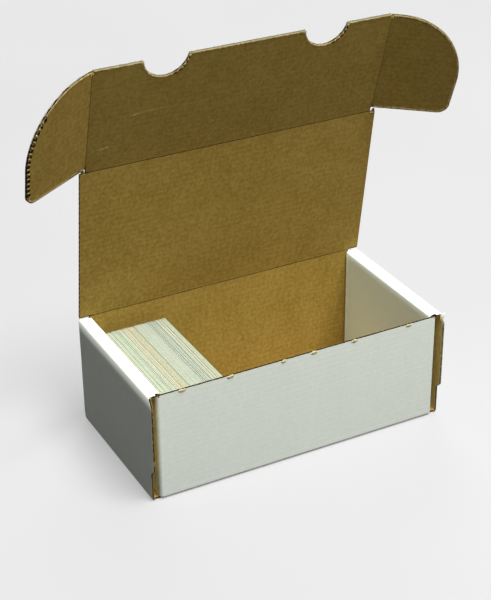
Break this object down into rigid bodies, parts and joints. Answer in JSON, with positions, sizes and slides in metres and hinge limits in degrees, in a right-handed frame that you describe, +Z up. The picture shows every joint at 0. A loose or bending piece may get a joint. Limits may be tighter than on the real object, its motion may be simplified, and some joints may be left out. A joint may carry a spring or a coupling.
{
  "type": "trading card storage box",
  "caption": "Open corrugated board box for trading cards, with rolled double-wall ends, a hinged lid, a front flap with thumb notches, folding side ears and a row of cards.",
  "frame": {"origin": "centre of the bottom panel's underside", "axes": "+X to the right along the box's length, +Y to the rear wall that carries the lid, +Z up"},
  "size_m": [0.2802, 0.1036, 0.2441],
  "materials": {
    "white_liner": "matte white paper",
    "kraft_board": "bare brown kraft",
    "card_stock": "coated card"
  },
  "bodies": {
    "tray": {"bottom_board": "kraft_board", "bottom_liner": "white_liner", "front_wall_board": "kraft_board", "front_wall_liner": "white_liner", "left_end_inner_board": "kraft_board", "left_end_inner_liner": "white_liner", "left_end_outer_board": "kraft_board", "left_end_outer_liner": "white_liner", "left_end_top_board": "kraft_board", "left_end_top_liner": "white_liner", "left_front_dust_flap_board": "kraft_board", "left_front_dust_flap_liner": "white_liner", "left_rear_dust_flap_board": "kraft_board", "left_rear_dust_flap_liner": "white_liner", "rear_wall_board": "kraft_board", "rear_wall_liner": "white_liner", "right_end_inner_board": "kraft_board", "right_end_inner_liner": "white_liner", "right_end_outer_board": "kraft_board", "right_end_outer_liner": "white_liner", "right_end_top_board": "kraft_board", "right_end_top_liner": "white_liner", "right_front_dust_flap_board": "kraft_board", "right_front_dust_flap_liner": "white_liner", "right_rear_dust_flap_board": "kraft_board", "right_rear_dust_flap_liner": "white_liner"},
    "lid": {"lid_board": "kraft_board", "lid_liner": "white_liner"},
    "flap": {"flap_board": "kraft_board", "flap_liner": "white_liner"},
    "left_ear": {"left_ear_board": "kraft_board", "left_ear_liner": "white_liner"},
    "right_ear": {"right_ear_board": "kraft_board", "right_ear_liner": "white_liner"},
    "card_row": {"card_row": "card_stock"}
  },
  "joints": [
    {"name": "lid_hinge", "type": "hinge", "parent": "tray", "child": "lid", "pos_m": [0, 0.04985, 0.0731], "axis": [-1, 0, 0], "range_deg": [-81, 99]},
    {"name": "flap_hinge", "type": "hinge", "parent": "lid", "child": "flap", "pos_m": [0, 0.03361, 0.17562], "axis": [-1, 0, 0], "range_deg": [-82, 8]},
    {"name": "left_ear_hinge", "type": "hinge", "parent": "flap", "child": "left_ear", "pos_m": [-0.09582, 0.03361, 0.17562], "axis": [0, 0.2924, -0.9563], "range_deg": [-65, 25]},
    {"name": "right_ear_hinge", "type": "hinge", "parent": "flap", "child": "right_ear", "pos_m": [0.09582, 0.03361, 0.17562], "axis": [0, -0.2924, 0.9563], "range_deg": [-65, 25]},
    {"name": "card_row_slide", "type": "slide", "parent": "tray", "child": "card_row", "axis": [1, 0, 0], "range_m": [0, 0.1372]}
  ]
}
